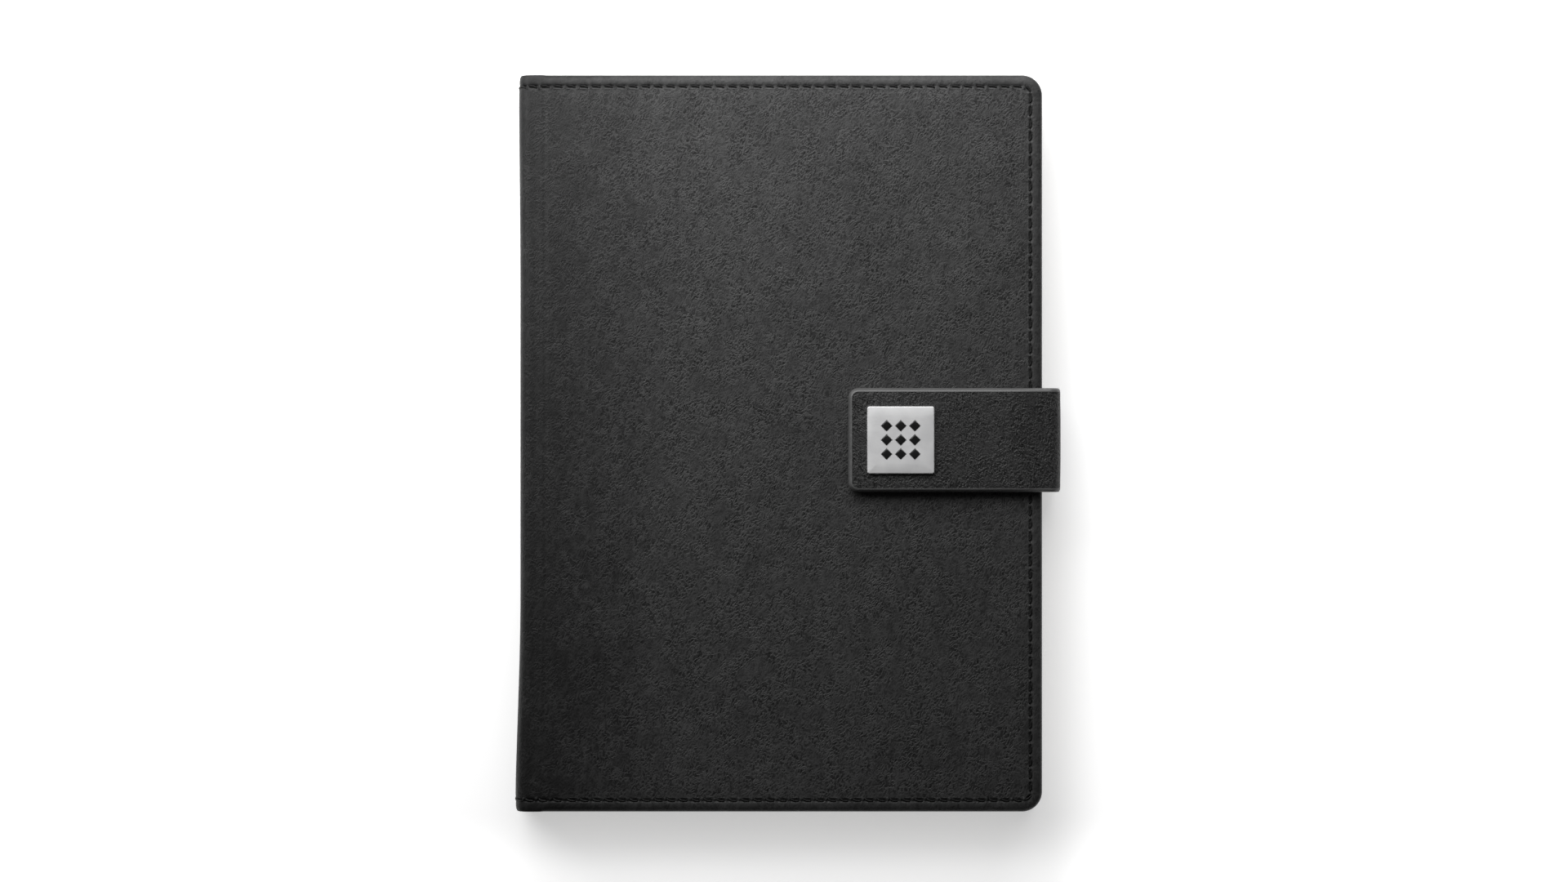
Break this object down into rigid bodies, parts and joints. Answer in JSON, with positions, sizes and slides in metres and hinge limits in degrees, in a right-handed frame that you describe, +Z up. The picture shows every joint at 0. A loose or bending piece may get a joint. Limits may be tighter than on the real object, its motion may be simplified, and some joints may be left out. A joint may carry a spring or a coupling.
{
  "type": "leather notebook cover",
  "caption": "Stitched dark leather cover around a slip-in notebook, folding at a flat spine and held shut by a magnetic strap with a square metal badge over the fore edge.",
  "frame": {"origin": "centre of the back cover's outer face, which the closed book lies on", "axes": "+X from the spine to the fore edge, +Y to the head, +Z up through the closed book to the front cover"},
  "size_m": [0.1615, 0.22, 0.0252],
  "materials": {
    "cover_leather": "fine-grained charcoal leather, satin",
    "strap_leather": "fine-grained charcoal leather, satin",
    "strap_backing": "smooth backing leather with painted grey edges",
    "lining": "smooth matt lining",
    "pocket": "smooth matt pocket leather with burnished edges",
    "board": "grey-brown bookbinding board",
    "foam": "thin wadding",
    "thread": "waxed black thread",
    "paper": "uncoated ivory paper",
    "card": "black pressed card",
    "binding_tape": "black book cloth",
    "magnet": "nickel plate",
    "badge_metal": "satin silver",
    "enamel": "black enamel",
    "washer_steel": "plain steel"
  },
  "bodies": {
    "back_cover": {"back_leather": "cover_leather", "back_foam": "foam", "back_board": "board", "back_lining": "lining", "back_sleeve": "pocket", "back_outer_stitches": "thread", "back_inner_stitches": "thread", "notebook_back_card": "card", "notebook_rear_sections": "paper", "notebook_binding_tape": "binding_tape", "strap_tongue": "strap_backing"},
    "spine": {"spine_leather": "cover_leather", "spine_board": "board", "spine_lining": "lining", "spine_stitches": "thread"},
    "front_cover": {"front_leather": "cover_leather", "front_foam": "foam", "front_board": "board", "front_catch_magnet": "magnet", "front_lining": "lining", "front_slip_pocket": "pocket", "card_slot_upper": "pocket", "card_slot_middle": "pocket", "card_slot_lower": "pocket", "front_outer_stitches": "thread", "front_inner_stitches": "thread", "card_slot_stitches": "thread"},
    "front_leaves": {"notebook_front_sections": "paper"},
    "front_card": {"notebook_front_card": "card"},
    "strap_riser": {"strap_riser_outer": "strap_leather", "strap_riser_inner": "strap_backing"},
    "strap_tab": {"strap_tab_outer": "strap_leather", "strap_tab_inner": "strap_backing", "strap_tab_core": "board", "strap_magnet": "magnet", "badge_plate": "badge_metal", "badge_enamel": "enamel", "badge_washers": "washer_steel"}
  },
  "joints": [
    {"name": "spine_fold", "type": "hinge", "parent": "back_cover", "child": "spine", "pos_m": [-0.07714, 0, 0.00086], "axis": [0, -1, 0], "range_deg": [0, 90]},
    {"name": "front_fold", "type": "hinge", "parent": "spine", "child": "front_cover", "pos_m": [-0.07714, 0, 0.01954], "axis": [0, -1, 0], "range_deg": [0, 90]},
    {"name": "leaves_turn", "type": "hinge", "parent": "back_cover", "child": "front_leaves", "pos_m": [-0.075, 0, 0.01115], "axis": [0, -1, 0], "range_deg": [0, 175]},
    {"name": "card_turn", "type": "hinge", "parent": "back_cover", "child": "front_card", "pos_m": [-0.075, 0, 0.01115], "axis": [0, -1, 0], "range_deg": [0, 180]},
    {"name": "strap_base_bend", "type": "hinge", "parent": "back_cover", "child": "strap_riser", "pos_m": [0.08275, 0, 0.00245], "axis": [0, 1, 0], "range_deg": [0, 90]},
    {"name": "strap_tab_bend", "type": "hinge", "parent": "strap_riser", "child": "strap_tab", "pos_m": [0.08275, 0, 0.02185], "axis": [0, 1, 0], "range_deg": [0, 90]}
  ],
  "couplings": [
    {"joint": "front_fold", "follows": "spine_fold", "ratio": 1},
    {"joint": "leaves_turn", "follows": "spine_fold", "ratio": 1.94},
    {"joint": "card_turn", "follows": "spine_fold", "ratio": 2}
  ]
}
